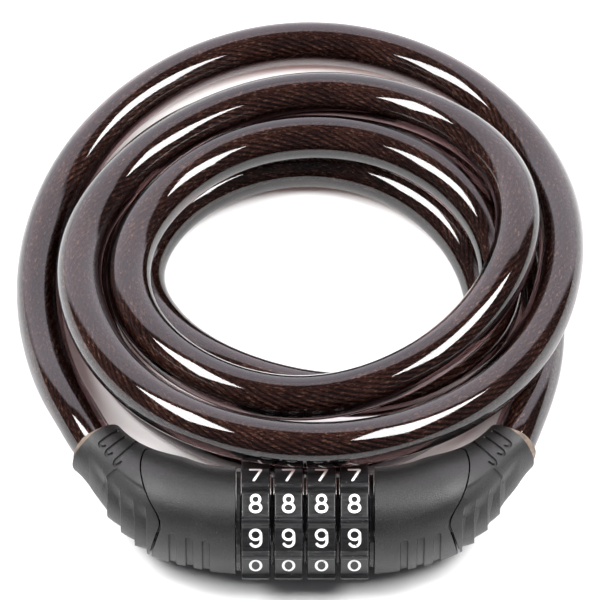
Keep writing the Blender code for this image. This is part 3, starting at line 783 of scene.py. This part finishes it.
nine_tail = np.concatenate([[(1.4, 0.93)], arc(0, -0.85, 1.4, 1.43, 0, -148)])
nine = [arc(0, 0.93, 1.4, 1.35, 0, 360), nine_tail]
two_top = arc(0, 0.93, 1.38, 1.35, 165, -38)
five_bowl = arc(0, -0.82, 1.4, 1.46, 128, -150)
DIGITS = {
    0: [arc(0, 0, 1.4, 2.28, 0, 360, 40)],
    1: [bent((-0.9, 1.35), (0.15, 2.28), (0.15, -2.28))],
    2: [np.concatenate([two_top, bent((0.9, -0.2), (-1.35, -2.28), (1.4, -2.28))])],
    3: [arc(0, 1.1, 1.25, 1.18, 150, -90), arc(0, -1.05, 1.4, 1.23, 90, -150)],
    4: [bent((0.55, -2.28), (0.55, 2.28), (-1.45, -1.0), (1.45, -1.0))],
    5: [np.concatenate([bent((1.2, 2.28), (-1.0, 2.28), (-1.2, 0.25)), five_bowl])],
    6: [-line for line in nine],
    7: [bent((-1.4, 2.28), (1.4, 2.28), (-0.45, -2.28))],
    8: [arc(0, 1.17, 1.12, 1.11, 0, 360), arc(0, -1.1, 1.4, 1.18, 0, 360)],
    9: nine,
}


def stroke(line):
    """Left and right edges at half a stroke's width, with the width closing as a half circle at free ends."""
    closed = np.linalg.norm(line[0] - line[-1]) < 1e-6
    if closed:
        line = line[:-1]
        ahead = np.roll(line, -1, 0) - np.roll(line, 1, 0)
        half = np.full(len(line), STROKE_HALF)
    else:
        line = line[np.concatenate([[True], np.linalg.norm(np.diff(line, axis=0), axis=1) > 1e-6])]
        ahead = np.gradient(line, axis=0)
        cap = np.radians(np.linspace(90, 12, 6))
        first, last = ahead[0] / np.linalg.norm(ahead[0]), ahead[-1] / np.linalg.norm(ahead[-1])
        before = line[0] - first * STROKE_HALF * np.sin(cap)[:, None]
        after = line[-1] + last * STROKE_HALF * np.sin(cap[::-1])[:, None]
        half = np.concatenate([np.cos(cap), np.ones(len(line)), np.cos(cap[::-1])]) * STROKE_HALF
        line = np.concatenate([before, line, after])
        ahead = np.concatenate([np.tile(first, (6, 1)), ahead, np.tile(last, (6, 1))])
    ahead = ahead / np.linalg.norm(ahead, axis=1, keepdims=True)
    left = np.stack([-ahead[:, 1], ahead[:, 0]], 1) * np.maximum(half, 0.004)[:, None]
    return line + left, line - left, closed


def digit_grids(digit, number):
    """The digit's strokes as thin slabs on its flat: right is +X and up is towards the top of the barrel."""
    middle = (number - (DIALS + 1) / 2) * DIAL_PITCH
    angle = math.radians(NINE_ANGLE - SECTOR * (digit - 9))
    out = np.array([0, -math.cos(angle), math.sin(angle)])
    up = np.array([0, math.sin(angle), math.cos(angle)])
    centre = np.array([middle, BARREL_Y, BARREL_Z]) + out * DIAL_FLAT
    grids = []
    for line in DIGITS[digit]:
        left, right, closed = stroke(line)
        corners = []
        section = [(left, -PAINT_SUNK), (left, PAINT_HIGH), (right, PAINT_HIGH), (right, -PAINT_SUNK)]
        for edge, high in section:
            flat = edge * MM
            corners.append(centre + flat[:, :1] * np.array([1.0, 0, 0]) + flat[:, 1:] * up + high * out)
        grid = np.stack(corners, 1)
        if not closed:
            grid = np.concatenate([pole(grid[0])[None], grid, pole(grid[-1])[None]])
        grids.append((grid, closed, True))
    return grids


def white_paint():
    made, tree, shader = finish_of("white_paint", (0.85, 0.85, 0.84), 0.45)
    place = object_place(tree)
    wear = ramp(tree, noise(tree, place, 700, 4, 0.7), [(0.66, 0.0), (0.70, 1.0)])
    tone = remap(tree, noise(tree, place, 1500, 2), 0.3, 0.7, 0, 1)
    color = mix(tree, wear, mix(tree, tone, (0.78, 0.78, 0.77), (0.9, 0.9, 0.89)), (0.1, 0.1, 0.1))
    tree.links.new(color, shader.inputs["Base Color"])
    return made


paint = white_paint()
for number in range(1, DIALS + 1):
    grids = [grid for digit in range(10) for grid in digit_grids(digit, number)]
    digits = put_surface(f"dial_{number}_digits", grids, paint, 40)
    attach(digits, f"dial_{number}")

# %% [markdown]
# The works inside show when the lock is pulled open: a steel bolt with a tooth for each dial, a cast core,
# brass code rings, and cast anchors with crimped ferrules. Their CAD meshes stay, and only get finishes:
# turned steel with fine rings round the barrel, brass with a dull patina, and grainy cast zinc.

# %% Metals and the rings between the dials


def metal(name, dark, light, roughness, stretch):
    made, tree, shader = finish_of(name, light, roughness, Metallic=1.0)
    lines = noise(tree, object_place(tree, stretch), 900, 3, 0.6)
    cloud = noise(tree, object_place(tree), 180, 3, 0.6)
    tree.links.new(mix(tree, remap(tree, cloud, 0.35, 0.7, 0, 1), dark, light), shader.inputs["Base Color"])
    tree.links.new(remap(tree, lines, 0.3, 0.7, roughness, roughness + 0.2), shader.inputs["Roughness"])
    tree.links.new(bump(tree, lines, 0.3, 0.0001), shader.inputs["Normal"])
    return made


turned_steel = metal("turned_steel", (0.42, 0.41, 0.4), (0.62, 0.61, 0.6), 0.24, (4, 0.4, 0.4))
patina_brass = metal("patina_brass", (0.42, 0.27, 0.1), (0.78, 0.58, 0.26), 0.3, (4, 0.4, 0.4))
cast_zinc = metal("cast_zinc", (0.36, 0.36, 0.37), (0.5, 0.5, 0.51), 0.45, (1, 1, 1))
METALS = {
    "bolt": turned_steel,
    "detent_leaf_spring": turned_steel,
    "lock_core": cast_zinc,
    **{f"detent_ball_{n}": turned_steel for n in range(1, DIALS + 1)},
    **{f"code_ring_{n}": patina_brass for n in range(1, DIALS + 1)},
    **{f"{word}_{part}": turned_steel for word in ("lock", "bolt") for part in ("anchor_pin", "ferrule")},
    **{f"{word}_anchor": cast_zinc for word in ("lock", "bolt")},
}
for name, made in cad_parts.items():
    if made.hide_render:
        continue
    made.data.materials.clear()
    made.data.materials.append(METALS.get(name, dial_finish))
    print(f"{name}: {made.data.materials[0].name}")

# %% [markdown]
# The lock lies on a plain white table under two big soft boxes, one over its left and one over its right.
# Their reflections are the crisp white strips along the cable. A pale glow from behind gives the soft
# lavender edges. The table is bright enough to be plain white.

# %% Table and light
TABLE_SIZE = 6.0
COIL_MIDDLE_Z = 0.02
BOX_ASIDE, BOX_FORWARD, BOX_HEIGHT = 0.72, 0.06, 1.08
BOX_SIZE, BOX_WATTS = (0.5, 0.8), 29


def table_top():
    """A flat disc: rings of growing radius round the coil's middle."""
    radius = np.array([0.0, 0.2, 0.6, 1.5, TABLE_SIZE])[:, None]
    angle = (np.arange(48) * 2 * np.pi / 48)[None, :]
    grid = np.stack([radius * np.cos(angle), COIL_Y + radius * np.sin(angle), 0 * (radius + angle)], -1)
    made, tree, shader = finish_of("table_white", (0.8, 0.8, 0.8), 0.6)
    grain = noise(tree, object_place(tree), 60, 3)
    tone = mix(tree, remap(tree, grain, 0.3, 0.7, 0, 1), (0.79, 0.79, 0.79), (0.81, 0.81, 0.81))
    tree.links.new(tone, shader.inputs["Base Color"])
    top = put_surface("table_top", [(grid, False, True)], made)
    if top.data.polygons[-1].normal.z < 0:  # a flat sheet has no volume to judge by
        top.data.flip_normals()
    return top


table_top()


def soft_box(name, place, size, watts):
    """A rectangular area light, turned about Y only, to face the coil from its side."""
    data = bpy.data.lights.new(name, "AREA")
    data.shape, data.size, data.size_y, data.energy = "RECTANGLE", size[0], size[1], watts
    lamp = bpy.data.objects.new(name, data)
    lamp.location = place
    bpy.context.scene.collection.objects.link(lamp)
    lamp.rotation_euler = (0, math.atan2(place[0], place[2] - COIL_MIDDLE_Z), 0)
    return lamp


for side, word in ((-1, "left"), (1, "right")):
    place = (side * BOX_ASIDE, COIL_Y - BOX_FORWARD, BOX_HEIGHT)
    soft_box(f"soft_box_{word}", place, BOX_SIZE, BOX_WATTS)


def sky():
    """Pale from behind and near the horizon, dark overhead and in front."""
    world = bpy.data.worlds.new("studio")
    bpy.context.scene.world = world
    world.use_nodes = True
    tree = world.node_tree
    tree.nodes.clear()
    way = node(tree, "TexCoord").outputs["Generated"]
    parts = node(tree, "SeparateXYZ", {"Vector": way})
    behind = node(tree, "Math", {0: parts.outputs["Y"], 1: 0.02}, operation="MAXIMUM").outputs[0]
    sideways = node(tree, "Math", {0: parts.outputs["X"]}, operation="ABSOLUTE").outputs[0]
    wide = node(tree, "Math", {0: sideways, 1: behind}, operation="DIVIDE").outputs[0]
    high = node(tree, "Math", {0: parts.outputs["Z"], 1: behind}, operation="DIVIDE").outputs[0]
    inside = remap(tree, wide, 1.2, 1.5, 1, 0)
    under = remap(tree, high, 1.55, 1.8, 1, 0)
    glow = node(tree, "Math", {0: inside, 1: under}, operation="MULTIPLY").outputs[0]
    color = mix(tree, glow, (0.12, 0.115, 0.125), (2.6, 2.4, 2.65))
    light = node(tree, "Background", {"Color": color, "Strength": 1.0})
    node(tree, "OutputWorld", {"Surface": light.outputs[0]})


sky()
